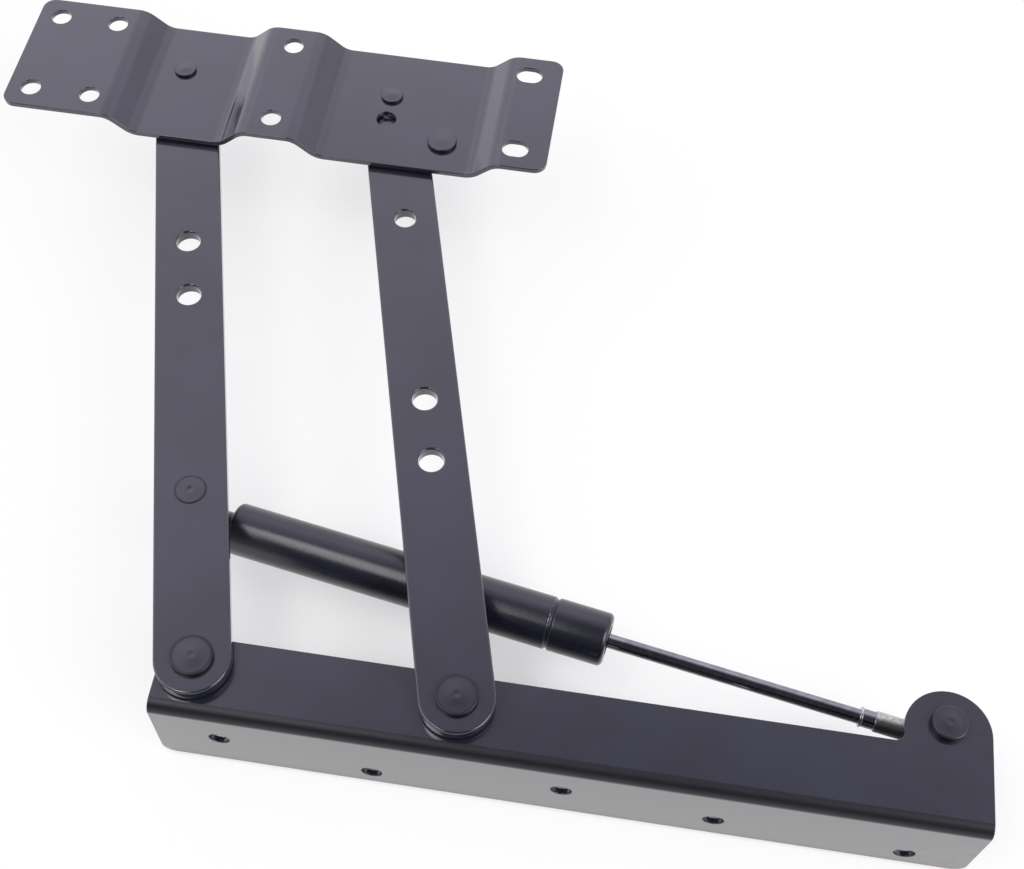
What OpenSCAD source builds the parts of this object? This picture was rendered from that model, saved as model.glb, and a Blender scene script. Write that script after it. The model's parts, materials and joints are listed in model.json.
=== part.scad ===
// Lift top table mechanism, one hand of a pair: a parallelogram of two flat arms
// between a base rail and a joggled top plate, held up by a gas spring behind the rail.
// It lies on its side: +X runs along the rail, +Y from the rail to the top plate,
// +Z along every pivot, and the rail's flange stands on z = 0.

/* [Base rail] */
// Length of the rail
rail_len = 321.5; // [300:0.5:360]
// Width of the web, from the flange's outer face to the web's free edge
web_w = 32.2; // [30:0.1:38]
// Width of the flange, from the web's outer face to the flange's free edge
flange_w = 44; // [40:0.5:60]
// Thickness of the rail's sheet
rail_t = 2.5; // [2:0.1:3]
// Inside radius of the bend between web and flange
rail_bend_r = 2.6; // [0.6:0.1:3.5]
// Radius of the flange's two free corners
flange_corner_r = 6; // [2:0.5:10]
// Radius of the web's free corner at the left end
web_corner_r = 4; // [1:0.5:8]
// Radius of the ear that carries the rod's end
ear_r = 17; // [15:0.5:20]
// Height of the ear's centre over the web's free edge
ear_rise = 6; // [4:0.5:9]
// Radius of the fillet between the ear and the web's edge
ear_fillet_r = 3.5; // [2:0.5:8]
// Height of the rod rivet over the ear's centre
ear_rivet_rise = 3.1; // [0:0.1:4]

/* [Rail holes] */
// Diameter of the five screw holes in the flange
rail_hole_d = 8.2; // [5:0.1:9]
// First screw hole from the rail's left end
rail_hole_inset = 26; // [20:0.5:30]
// Short step between screw holes
rail_hole_step_a = 60; // [50:0.5:62]
// Long step between screw holes
rail_hole_step_b = 75; // [66:0.5:78]
// Upper row of screw holes, below the web's outer face
rail_row_high = 21.5; // [14:0.5:24]
// Middle row, below the web's outer face
rail_row_mid = 29; // [26:0.5:31]
// Lower row, below the web's outer face
rail_row_low = 33.5; // [32:0.5:36]

/* [Arms] */
// Distance between the two pivots of an arm
arm_len = 311; // [280:0.5:340]
// Width of an arm
arm_w = 30; // [26:0.5:32]
// Thickness of an arm
arm_t = 5.5; // [3:0.1:6]
// Distance between the two arms' pivots, on the rail and on the top plate
pivot_pitch = 102.9; // [100:0.1:110]
// Left pivot from the rail's left end
pivot_inset = 14; // [12:0.1:18]
// Pivots over the flange's outer face
pivot_rise = 20.7; // [19:0.1:24]
// Lean of the lifted arms, back from square to the rail
lift_lean = 15.3; // [10:0.1:20]
// Stud hole from its end's pivot
stud_hole_at = 74.4; // [66:0.1:84]
// Diameter of the stud hole
stud_hole_d = 10; // [9:0.1:11]
// First of the pair of large holes, from the same pivot
pair_hole_at = 175; // [160:0.5:184]
// Distance between the pair of large holes
pair_hole_step = 30.7; // [20:0.1:40]
// Diameter of the pair of large holes
pair_hole_d = 10.9; // [8:0.1:14]

/* [Top plate] */
// Width of the top plate
plate_w = 71.6; // [66:0.1:80]
// Thickness of the top plate
plate_t = 2.5; // [2:0.1:3]
// Height of the pads over the sunk parts
joggle = 9.2; // [7:0.1:10]
// Run of each slope between a pad and a sunk part
slope_run = 10.5; // [10:0.1:12]
// Inside radius of the bends beside a slope
slope_bend_r = 8.5; // [2:0.1:10]
// Length of the left pad
left_pad_len = 51.1; // [44:0.1:54]
// Length of the sunk part on the left arm
left_sink_len = 43.2; // [40:0.1:48]
// Length of the middle pad
middle_pad_len = 25.3; // [22:0.1:30]
// Length of the sunk part on the right arm
right_sink_len = 74.2; // [72:0.1:80]
// Length of the right pad
right_pad_len = 24.5; // [24:0.1:32]
// Radius of the plate's four corners
plate_corner_r = 6; // [2:0.5:9]
// Left arm's pivot from the plate's left end
plate_pivot_inset = 76.7; // [76:0.1:82]
// Arm pivots over the plate's lower edge
plate_pivot_rise = 43.8; // [34:0.1:46]
// Diameter of the screw holes in the pads
pad_hole_d = 9.4; // [5:0.1:11]
// Distance between the two rows of pad holes
pad_row_step = 48.4; // [40:0.1:54]
// Distance between the left pad's two columns
left_column_step = 28.6; // [20:0.1:32]
// Left pad's first column from the plate's left end
left_column_inset = 11.2; // [8:0.1:14]
// Middle of the right pad's slots from the plate's right end
slot_inset = 15.8; // [13:0.1:16]
// Travel that the right pad's slots add to a hole
slot_travel = 3; // [0.5:0.1:4]
// Diameter of the see-through hole below the right arm's pivot
peep_hole_d = 9.4; // [5:0.1:10]
// See-through hole below the right arm's pivot
peep_hole_drop = 15.2; // [12:0.1:18]

/* [Pivots] */
// Diameter of the pivot rivets' shanks
pivot_d = 9; // [8:0.1:10]
// Thickness of the washers that keep the sheets apart
washer_t = 0.9; // [0.5:0.1:1.5]
// Diameter of the washers
washer_d = 22; // [18:0.5:25]
// Diameter of the base rivets' heads
base_head_d = 16.8; // [15:0.1:20]
// Height of the base rivets' heads
base_head_h = 2.4; // [1.5:0.1:3.5]
// Diameter of the top rivets' heads
top_head_d = 10.5; // [10.2:0.1:14]
// Height of the top rivets' heads
top_head_h = 1.7; // [0.5:0.1:2]
// Diameter of the rivets' formed tails
tail_d = 14; // [12:0.1:16]
// Height of the rivets' formed tails
tail_h = 1.8; // [1:0.1:2.5]

/* [Lift stop] */
// Diameter of the stop pin's shank
stop_d = 12; // [8:0.1:12.5]
// Diameter of the stop pin's head
stop_head_d = 13.9; // [13:0.1:18]
// Height of the stop pin's head
stop_head_h = 1.9; // [1:0.1:3.5]
// Stop pin below the right arm's pivot, along the arm
stop_drop = 32.4; // [28:0.1:38]

/* [Gas spring] */
// Diameter of the gas tube
tube_d = 22; // [18:0.1:23]
// Wall of the gas tube
tube_wall = 1.5; // [1:0.1:2]
// Length of the gas tube
tube_len = 163.4; // [158:0.1:168]
// Radius of the tube's rounded ends
tube_end_r = 2.2; // [1.6:0.1:3]
// Tube's closed end from the stud's axis
tube_start = 16.4; // [14:0.1:18]
// Roll groove from the tube's open end
groove_at = 23.8; // [22:0.1:25]
// Depth of the roll groove
groove_depth = 0.8; // [0.4:0.1:1]
// Width of the roll groove
groove_w = 1.6; // [1:0.1:2.4]
// Diameter of the rod
rod_d = 6; // [5:0.1:8]
// Length of the rod end fitting, from the rivet's axis to its collar
rod_end_len = 31.2; // [29:0.1:34]
// Diameter of the rod end fitting's body
rod_end_d = 8.4; // [8.2:0.1:10]
// Thickness of both eyes
eye_t = 8; // [6:0.1:9]
// Diameter of both eyes
eye_d = 17; // [15:0.1:18]
// Diameter of the pins through the eyes
eye_pin_d = 8; // [6:0.1:8.4]
// Diameter of the washers under both eyes
eye_washer_d = 14; // [12:0.1:14.4]
// Thickness of the washers under both eyes
eye_washer_t = 1.2; // [0.8:0.1:2]
// Diameter of the sleeves over both eyes
sleeve_d = 13; // [11:0.1:14]
// Depth of the spring's axis behind the web's outer face
spring_drop = 16.5; // [16:0.1:18]

/* [Hidden] */
$fn = 64;

// Clearances: sliding faces, turning pins, fixed pins, and the stop beside the arm
play = 0.05;
turn_gap = 0.08;
seat_gap = 0.05;
stop_gap = 0.2;
ear_gap = 0.2;

// Straight steps in a bend of the top plate
bend_steps = 9;

// How far a cutting shape runs past what it cuts, and two joined shapes run into each other
cut = 1;

// Small shapes of the rivets
head_chamfer = 0.7;
flush_chamfer = 0.25;
ear_head_d = 14.3;
ear_head_h = 3.4;
stud_head_d = 13.2;
stud_head_h = 0.5;
foot_over = 1.5;
foot_h = 1.6;
foot_chamfer = 0.55;
tail_chamfer = 0.6;
dimple_d = 3;
dimple_tip_d = 0.6;
dimple_depth = 0.4;
dimple_over = 0.01;

// Lower face of each layer, from the floor up
web_top = flange_w;
web_back = web_top - rail_t;
arm_z = web_top + washer_t + play;
sink_z = arm_z + arm_t + play + washer_t;
spring_z = web_top - spring_drop;

// Places in plan, from the left base pivot
lift_x = -arm_len * sin(lift_lean);
lift_y = arm_len * cos(lift_lean);
rail_left = -pivot_inset;
rail_right = rail_left + rail_len;
plate_left = lift_x - plate_pivot_inset;
plate_low = lift_y - plate_pivot_rise;

// The part's middle in plan is the origin
plate_len = left_pad_len + left_sink_len + middle_pad_len + right_sink_len + right_pad_len + 4 * slope_run;
mid_x = (min(plate_left, rail_left) + max(rail_right, plate_left + plate_len)) / 2;
mid_y = (plate_low + plate_w - pivot_rise) / 2;
base_l = [-mid_x, -mid_y];
base_r = base_l + [pivot_pitch, 0];
top_l = base_l + [lift_x, lift_y];
top_r = base_r + [lift_x, lift_y];
rail_x = base_l[0] + rail_left;
rail_y = base_l[1] - pivot_rise;
web_edge_y = rail_y + web_w;
plate_x = base_l[0] + plate_left;
plate_y = base_l[1] + plate_low;
ear_c = [rail_x + rail_len - ear_r, web_edge_y + ear_rise];
ear_pin = ear_c + [0, ear_rivet_rise];

// Arms: direction from base to top, and the direction to their right edge
arm_dir = [-sin(lift_lean), cos(lift_lean)];
arm_side = [cos(lift_lean), sin(lift_lean)];
arm_turn = 90 + lift_lean;
stud = base_l + stud_hole_at * arm_dir;
stop_side = arm_w / 2 + stop_gap + stop_d / 2;
stop_at = top_r - stop_drop * arm_dir + stop_side * arm_side;

// Gas spring: from the stud to the ear's rivet
spring_run = ear_pin - stud;
spring_len = norm(spring_run);
spring_turn = atan2(spring_run[1], spring_run[0]);
tube_end = tube_start + tube_len;
collar_z = spring_len - rod_end_len;
bore_r = tube_d / 2 - tube_wall;
neck_r = bore_r - groove_depth;
lip_t = 1.6;
lip_gap = 3.2;
lip_r = rod_d / 2 + lip_gap;
groove_z = tube_end - groove_at;
neck_low = groove_z - 1.5 * groove_w;
neck_high = groove_z + 1.5 * groove_w;
pack_z = groove_z + groove_w;
seal_len = 4.5;
guide_z = pack_z + seal_len;
guide_len = tube_end - lip_t - guide_z;
plug_len = 8;
stem_d = 8;
collar_d = 12;

// Piston, its ring and its nut
piston_len = 10;
piston_stop = 2;
piston_z = neck_low - piston_stop - piston_len;
ring_len = 2.8;
ring_t = 1.95;
ring_r = bore_r - seat_gap;
ring_seat_r = ring_r - ring_t - seat_gap;
nut_len = 4;
nut_d = 12;
tip_len = 1;
rod_tip = piston_z - nut_len - tip_len;

// Both eyes, and the parts of the rod end fitting
rod_socket = 12;
rod_collar_len = 6.1;
rod_waist_d = rod_end_d - 1;
rod_ring_len = 1;
rod_ring_d = rod_end_d - 0.2;
neck_start = max(eye_washer_d, sleeve_d) / 2 + play;
eye_top = spring_z + eye_t / 2;
eye_low = spring_z - eye_t / 2;
ear_root = 5;

// A disc with a chamfered rim, standing on z = 0
module head(d, h, chamfer) {
    cylinder(d = d, h = h - chamfer);
    translate([0, 0, h - chamfer]) cylinder(d1 = d, d2 = d - 2 * chamfer, h = chamfer);
}

// The forming tool's centre mark in the top of a head of height h
module dimple(h) {
    translate([0, 0, h - dimple_depth])
        cylinder(d1 = dimple_tip_d, d2 = dimple_d, h = dimple_depth + dimple_over);
}

// A round cutter through what stands on z = 0 with the thickness t
module drill(d, t) {
    translate([0, 0, -cut]) cylinder(d = d, h = t + 2 * cut);
}

// A rivet: the head stands on z = 0 and the shank runs down to its formed tail
module rivet(head_d, head_h, chamfer, grip) {
    difference() {
        union() {
            head(head_d, head_h, chamfer);
            translate([0, 0, -grip]) cylinder(d = pivot_d, h = grip + head_h / 2);
            translate([0, 0, -grip]) mirror([0, 0, 1]) head(tail_d, tail_h, tail_chamfer);
        }
        dimple(head_h);
    }
}

module ring(d, hole_d, h) {
    difference() {
        cylinder(d = d, h = h);
        drill(hole_d, h);
    }
}

// What rounding a square corner at the origin by the radius r takes away
module corner_cut(r) {
    difference() {
        translate([-cut, -cut]) square(r + cut);
        translate([r, r]) circle(r);
    }
}

// Section of the rail, standing on its flange: the outer corner of the bend is at the top left
module rail_section() {
    difference() {
        square([web_w, flange_w]);
        translate([rail_t, -rail_t]) difference() {
            square([web_w, flange_w]);
            translate([0, flange_w]) mirror([0, 1]) corner_cut(rail_bend_r);
        }
        translate([0, flange_w]) mirror([0, 1]) corner_cut(rail_bend_r + rail_t);
    }
}

// Outline of the ear and its fillet over the web's edge
module ear_outline() {
    reach = ear_r + ear_fillet_r;
    up = ear_rise - ear_fillet_r;
    fillet_x = ear_c[0] - sqrt(reach * reach - up * up);
    fillet_c = [fillet_x, web_edge_y + ear_fillet_r];
    touch = ear_c + (fillet_c - ear_c) * ear_r / reach;
    root_y = web_edge_y - ear_root;
    translate(ear_c) circle(ear_r);
    translate([ear_c[0], root_y]) square([ear_r, ear_rise + ear_root]);
    difference() {
        polygon([[fillet_x, root_y], [rail_x + rail_len, root_y], ear_c, touch, fillet_c]);
        translate(fillet_c) circle(ear_fillet_r);
    }
}

module base_rail() {
    hole_x = [0, rail_hole_step_a, rail_hole_step_a + rail_hole_step_b,
        2 * rail_hole_step_a + rail_hole_step_b, 2 * rail_hole_step_a + 2 * rail_hole_step_b];
    hole_drop = [rail_row_high, rail_row_low, rail_row_high, rail_row_mid, rail_row_low];
    color("dimgray") difference() {
        union() {
            translate([rail_x, rail_y, 0]) rotate([90, 0, 90]) linear_extrude(rail_len) rail_section();
            translate([0, 0, web_back]) linear_extrude(rail_t) ear_outline();
        }
        for (end = [0, 1]) translate([rail_x + end * rail_len, rail_y + rail_t + cut, 0]) mirror([end, 0, 0])
            rotate([90, 0, 0]) linear_extrude(rail_t + 2 * cut) corner_cut(flange_corner_r);
        translate([rail_x, web_edge_y, web_back - cut]) mirror([0, 1, 0])
            linear_extrude(rail_t + 2 * cut) corner_cut(web_corner_r);
        for (i = [0:len(hole_x) - 1])
            translate([rail_x + rail_hole_inset + hole_x[i], rail_y, web_top - hole_drop[i]])
                rotate([-90, 0, 0]) drill(rail_hole_d, rail_t);
        for (p = [base_l, base_r]) translate([p[0], p[1], web_back]) drill(pivot_d + 2 * seat_gap, rail_t);
        translate([ear_pin[0], ear_pin[1], web_back]) drill(eye_pin_d + 2 * seat_gap, rail_t);
    }
}

// Base rivet: its head holds the arm, its tail is formed behind the web
module base_rivet(at) {
    under = arm_z + arm_t + 2 * play;
    color("dimgray") translate([at[0], at[1], under])
        rivet(base_head_d, base_head_h, head_chamfer, under - web_back);
}

module left_base_rivet() { base_rivet(base_l); }
module right_base_rivet() { base_rivet(base_r); }

module base_washer(at) {
    color("silver") translate([at[0], at[1], web_top])
        ring(washer_d, pivot_d + 2 * turn_gap, washer_t);
}

module left_base_washer() { base_washer(base_l); }
module right_base_washer() { base_washer(base_r); }

// Head and shank of the rod's rivet, as far as the back of the ear
module ear_rivet() {
    color("dimgray") translate([ear_pin[0], ear_pin[1], web_top]) difference() {
        union() {
            head(ear_head_d, ear_head_h, head_chamfer);
            translate([0, 0, -rail_t]) cylinder(d = eye_pin_d, h = rail_t + cut);
        }
        dimple(ear_head_h);
    }
}

// The arm, one stamping used twice: x runs from the pivot beside the stud hole
module arm_sheet() {
    linear_extrude(arm_t) difference() {
        union() {
            circle(d = arm_w);
            translate([0, -arm_w / 2]) square([arm_len, arm_w]);
            translate([arm_len, 0]) circle(d = arm_w);
        }
        for (x = [0, arm_len]) translate([x, 0]) circle(d = pivot_d + 2 * turn_gap);
        translate([stud_hole_at, 0]) circle(d = stud_hole_d);
        for (x = [pair_hole_at, pair_hole_at + pair_hole_step]) translate([x, 0]) circle(d = pair_hole_d);
    }
}

module left_arm() {
    color("dimgray") translate([base_l[0], base_l[1], arm_z]) rotate([0, 0, arm_turn]) arm_sheet();
}

module right_arm() {
    color("dimgray") translate([top_r[0], top_r[1], arm_z]) rotate([0, 0, arm_turn - 180]) arm_sheet();
}

// Formed end of a pin under its washer
module pin_foot() {
    head(eye_pin_d + 2 * foot_over, foot_h, foot_chamfer);
}

// Stud on the left arm that carries the tube's eye: flat head, shank in the arm, pin down through the eye
module tube_stud() {
    top = arm_z + arm_t;
    low = eye_low - eye_washer_t - 2 * play;
    color("dimgray") translate([stud[0], stud[1], top]) difference() {
        union() {
            head(stud_head_d, stud_head_h, flush_chamfer);
            translate([0, 0, -arm_t]) cylinder(d = stud_hole_d - 2 * seat_gap, h = arm_t + stud_head_h / 2);
            translate([0, 0, low - top]) cylinder(d = eye_pin_d, h = top - low);
            translate([0, 0, low - top]) mirror([0, 0, 1]) pin_foot();
        }
        dimple(stud_head_h);
    }
}

// Sleeve that holds an eye away from the sheet above it
module sleeve(at, top) {
    color("silver") translate([at[0], at[1], eye_top + play])
        ring(sleeve_d, eye_pin_d + 2 * seat_gap, top - eye_top - play);
}

module tube_spacer() { sleeve(stud, arm_z); }

module eye_washer(at) {
    color("silver") translate([at[0], at[1], eye_low - eye_washer_t - play])
        ring(eye_washer_d, eye_pin_d + 2 * seat_gap, eye_washer_t);
}

module tube_stud_washer() { eye_washer(stud); }

// Middle line of the top plate's section, as corners of the bends
function plate_line() = let (
        a = left_pad_len, b = a + slope_run, c = b + left_sink_len, d = c + slope_run,
        e = d + middle_pad_len, f = e + slope_run, g = f + right_sink_len, h = g + slope_run)
    [[0, joggle], [a, joggle], [b, 0], [c, 0], [d, joggle], [e, joggle], [f, 0], [g, 0], [h, joggle],
        [plate_len, joggle]];

// Points of a bend at corner p between directions u and v, on the side offset by s along the left normal
function bend(p, u, v, s) = let (
        turn = asin(u[0] * v[1] - u[1] * v[0]), way = sign(turn), r = slope_bend_r + plate_t / 2,
        back = r * tan(abs(turn) / 2), centre = p - back * u + way * r * [-u[1], u[0]],
        from = atan2(u[1], u[0]) - 90 * way, reach = r - way * s)
    [for (i = [0:bend_steps]) let (a = from + turn * i / bend_steps) centre + reach * [cos(a), sin(a)]];

function unit(v) = v / norm(v);
function flatten(lists) = [for (l = lists) for (p = l) p];

// One face of the plate's section, from its left end to its right end
function plate_side(s) = let (line = plate_line(), last = len(line) - 1,
        runs = [for (i = [1:last]) unit(line[i] - line[i - 1])],
        bends = [for (i = [1:last - 1]) bend(line[i], runs[i - 1], runs[i], s)])
    concat([line[0] + [0, s]], flatten(bends), [line[last] + [0, s]]);

function backwards(list) = [for (i = [len(list) - 1:-1:0]) list[i]];

module plate_outline() {
    difference() {
        square([plate_len, plate_w]);
        for (x = [0, 1], y = [0, 1]) translate([x * plate_len, y * plate_w]) mirror([x, 0]) mirror([0, y])
            corner_cut(plate_corner_r);
    }
}

module top_plate() {
    row_y = (plate_w - pad_row_step) / 2;
    middle_x = left_pad_len + 2 * slope_run + left_sink_len + middle_pad_len / 2;
    slot_x = plate_len - slot_inset;
    pivot = [plate_pivot_inset, plate_pivot_rise];
    stop = stop_at - [plate_x, plate_y];
    color("dimgray") translate([plate_x, plate_y, sink_z]) difference() {
        intersection() {
            translate([0, plate_w, plate_t / 2]) rotate([90, 0, 0]) linear_extrude(plate_w)
                polygon(concat(plate_side(-plate_t / 2), backwards(plate_side(plate_t / 2))));
            translate([0, 0, -cut]) linear_extrude(joggle + plate_t + 2 * cut) plate_outline();
        }
        for (y = [row_y, row_y + pad_row_step]) {
            for (x = [left_column_inset, left_column_inset + left_column_step, middle_x])
                translate([x, y, joggle]) drill(pad_hole_d, plate_t);
            translate([slot_x, y, joggle - cut]) linear_extrude(plate_t + 2 * cut) {
                for (side = [-1, 1]) translate([side * slot_travel / 2, 0]) circle(d = pad_hole_d);
                square([slot_travel, pad_hole_d], center = true);
            }
        }
        for (x = [0, pivot_pitch]) translate(pivot + [x, 0]) drill(pivot_d + 2 * seat_gap, plate_t);
        translate(pivot + [pivot_pitch, -peep_hole_drop]) drill(peep_hole_d, plate_t);
        translate(stop) drill(stop_d + 2 * seat_gap, plate_t);
    }
}

// Top rivet: fixed in the plate, its tail formed behind the arm
module top_rivet(at) {
    over = sink_z + plate_t;
    color("dimgray") translate([at[0], at[1], over])
        rivet(top_head_d, top_head_h, flush_chamfer, over - arm_z + play);
}

module left_top_rivet() { top_rivet(top_l); }
module right_top_rivet() { top_rivet(top_r); }

module top_washer(at) {
    color("silver") translate([at[0], at[1], sink_z - washer_t])
        ring(washer_d, pivot_d + 2 * turn_gap, washer_t);
}

module left_top_washer() { top_washer(top_l); }
module right_top_washer() { top_washer(top_r); }

// Stop pin: its head on the plate, its shank down beside the arm
module stop_pin() {
    over = sink_z + plate_t;
    color("dimgray") translate([stop_at[0], stop_at[1], arm_z]) {
        translate([0, 0, over - arm_z]) head(stop_head_d, stop_head_h, head_chamfer);
        cylinder(d = stop_d, h = over - arm_z + stop_head_h / 2);
    }
}

// Puts a piece that is turned about +Z onto the spring's axis, starting at the stud
module on_spring() {
    translate([stud[0], stud[1], spring_z]) rotate([0, 0, spring_turn]) rotate([0, 90, 0]) children();
}

// Half section of a rounded tube end: a quarter disc of radius r at (x, y)
module round_end(x, y, r, up) {
    intersection() {
        translate([x, y]) circle(r);
        translate([x, up ? y : y - r]) square(r);
    }
}

module gas_tube() {
    r = tube_d / 2;
    color("black") on_spring() rotate_extrude($fn = 96) difference() {
        union() {
            translate([0, tube_start + tube_end_r]) square([r, tube_len - 2 * tube_end_r]);
            translate([0, tube_start]) square([r - tube_end_r, tube_len]);
            round_end(r - tube_end_r, tube_start + tube_end_r, tube_end_r, false);
            round_end(r - tube_end_r, tube_end - tube_end_r, tube_end_r, true);
        }
        translate([r, groove_z]) circle(groove_depth);
        translate([0, tube_start + plug_len]) square([bore_r, neck_low - tube_start - plug_len]);
        translate([0, neck_low - cut]) square([neck_r, neck_high - neck_low + cut]);
        translate([0, pack_z]) square([bore_r, tube_end - lip_t - pack_z]);
        translate([0, tube_end - lip_t - cut]) square([lip_r, lip_t + 2 * cut]);
        translate([0, tube_start - cut]) square([stem_d / 2 + seat_gap, plug_len + 2 * cut]);
    }
}

// An eye lying flat on the plane of the spring, around a round bore, with the children fused to it
module eye(bore_d) {
    difference() {
        union() {
            rotate([0, 90, 0]) translate([0, 0, -eye_t / 2]) cylinder(d = eye_d, h = eye_t);
            children();
        }
        rotate([0, 90, 0]) translate([0, 0, -eye_t / 2]) drill(bore_d, eye_t);
    }
}

// A round neck along the spring's axis, between two distances from the eye's middle
module neck(d, from, to) {
    translate([0, 0, from]) cylinder(d = d, h = to - from);
}

// Tube's eye: its collar stands on the tube's closed end, its stem goes in
module tube_eye() {
    color("black") on_spring() eye(eye_pin_d + 2 * turn_gap) {
        neck(stem_d, neck_start, tube_start + plug_len - cut);
        neck(collar_d, eye_d / 2 - cut, tube_start);
    }
}

module rod_seal() {
    color("black") on_spring() translate([0, 0, pack_z])
        ring(2 * ring_r, rod_d + 2 * seat_gap, seal_len);
}

module rod_guide() {
    color("goldenrod") on_spring() translate([0, 0, guide_z])
        ring(2 * ring_r, rod_d + 2 * turn_gap, guide_len);
}

module piston_rod() {
    color("gray") on_spring() neck(rod_d, rod_tip, collar_z + rod_socket);
}

// Piston with a groove for its ring
module piston() {
    groove = ring_len + 2 * play;
    color("silver") on_spring() translate([0, 0, piston_z]) difference() {
        cylinder(r = bore_r - turn_gap, h = piston_len);
        drill(rod_d + 2 * seat_gap, piston_len);
        translate([0, 0, (piston_len - groove) / 2]) ring(2 * (bore_r + cut), 2 * ring_seat_r, groove);
    }
}

module piston_ring() {
    color("black") on_spring() translate([0, 0, piston_z + (piston_len - ring_len) / 2])
        ring(2 * ring_r, 2 * (ring_r - ring_t), ring_len);
}

module piston_nut() {
    color("silver") on_spring() translate([0, 0, piston_z - nut_len]) difference() {
        cylinder(d = nut_d, h = nut_len, $fn = 6);
        drill(rod_d + 2 * seat_gap, nut_len);
    }
}

// Rod end fitting, from its eye to the rod: body, waisted collar and end ring, drilled for the rod
module rod_eye() {
    color("silver") on_spring() translate([0, 0, spring_len]) mirror([0, 0, 1]) difference() {
        eye(eye_pin_d + 2 * seat_gap) {
            neck(rod_end_d, neck_start, rod_end_len - rod_collar_len);
            neck(rod_waist_d, neck_start, rod_end_len);
            neck(rod_ring_d, rod_end_len - rod_ring_len, rod_end_len);
        }
        translate([0, 0, rod_end_len - rod_socket]) cylinder(d = rod_d + 2 * seat_gap, h = rod_socket + cut);
    }
}

// Lower part of the rod's rivet, from the back of the ear to its formed tail
module rod_pin() {
    top = web_back - ear_gap;
    low = eye_low - eye_washer_t - 2 * play;
    color("dimgray") translate([ear_pin[0], ear_pin[1], low]) {
        cylinder(d = eye_pin_d, h = top - low);
        mirror([0, 0, 1]) pin_foot();
    }
}

module rod_spacer() { sleeve(ear_pin, web_back - ear_gap); }
module rod_pin_washer() { eye_washer(ear_pin); }

base_rail();
left_base_rivet();
right_base_rivet();
left_base_washer();
right_base_washer();
ear_rivet();
left_arm();
tube_stud();
tube_spacer();
tube_stud_washer();
right_arm();
top_plate();
left_top_rivet();
right_top_rivet();
left_top_washer();
right_top_washer();
stop_pin();
gas_tube();
tube_eye();
rod_seal();
rod_guide();
piston_rod();
piston();
piston_ring();
piston_nut();
rod_eye();
rod_pin();
rod_spacer();
rod_pin_washer();
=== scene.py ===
"""Lift top table mechanism: the finish and fine shapes of its pieces, and a studio to see it in."""

import json
import math

import bmesh
import bpy
import numpy as np
from bpy.props import FloatProperty, FloatVectorProperty, IntProperty, PointerProperty
from mathutils import Matrix, Vector
from mathutils.geometry import tessellate_polygon

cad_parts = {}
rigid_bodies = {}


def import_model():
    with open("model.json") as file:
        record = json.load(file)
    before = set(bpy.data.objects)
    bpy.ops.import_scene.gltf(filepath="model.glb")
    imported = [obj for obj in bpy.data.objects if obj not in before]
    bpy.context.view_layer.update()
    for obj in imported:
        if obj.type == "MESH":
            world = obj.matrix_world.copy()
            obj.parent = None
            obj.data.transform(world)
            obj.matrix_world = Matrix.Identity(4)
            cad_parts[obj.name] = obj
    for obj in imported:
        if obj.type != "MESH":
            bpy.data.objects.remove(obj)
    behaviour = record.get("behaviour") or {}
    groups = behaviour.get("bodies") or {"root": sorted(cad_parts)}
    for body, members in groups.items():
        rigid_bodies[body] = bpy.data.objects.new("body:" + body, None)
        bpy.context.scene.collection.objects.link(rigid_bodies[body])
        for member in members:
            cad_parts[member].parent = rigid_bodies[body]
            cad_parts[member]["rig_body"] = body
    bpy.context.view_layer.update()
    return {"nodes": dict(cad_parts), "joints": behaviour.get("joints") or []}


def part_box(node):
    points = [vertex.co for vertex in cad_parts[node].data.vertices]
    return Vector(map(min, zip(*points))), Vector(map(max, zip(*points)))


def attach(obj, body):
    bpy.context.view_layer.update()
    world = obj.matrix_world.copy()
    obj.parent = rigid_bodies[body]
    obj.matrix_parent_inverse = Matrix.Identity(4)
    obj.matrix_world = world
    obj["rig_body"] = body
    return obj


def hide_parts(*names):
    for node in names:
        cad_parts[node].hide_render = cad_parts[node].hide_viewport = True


bl_info = {
    "name": "Lift Top Mechanism",
    "version": (1, 0, 0),
    "blender": (4, 5, 0),
    "location": "View3D > Sidebar > Mechanism",
    "description": "Paints and details a lift top table mechanism and sets up its studio",
    "category": "Object",
}

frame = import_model()
MM = 0.001

# Image frame that the camera was worked out for
IMAGE_WIDTH = 1024
SENSOR_WIDTH = 36.0


def joint(name, key):
    """A joint's place in metres or its direction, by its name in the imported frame."""
    return Vector(next(j[key] for j in frame["joints"] if j["name"] == name))


# Metres: the top plate's thickness, the width of the rail's web, the gap drawn under the base rivets'
# heads, the rounding of a formed end and the radius of the centre marks
PLATE_THICK = 0.0025
WEB_WIDTH = 0.032
HEAD_CLEAR = 0.0001
FOOT_ROUND = 0.0006
MARK_RADIUS = 0.002

# A rivet's mesh is measured for its head down to this depth from its top, and for its shank beyond
# this distance from its axis
HEAD_DEPTH = 0.0038
AXIS_NEAR = 0.0025

# Lengths closer than this are one length
SAME = 0.0001

# The gas spring's line: from the middle of its stud towards the ear
SPRING_FROM = joint("tube_pivot", "pos_m")
SPRING_ALONG = joint("rod_slide", "axis").normalized()


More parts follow.
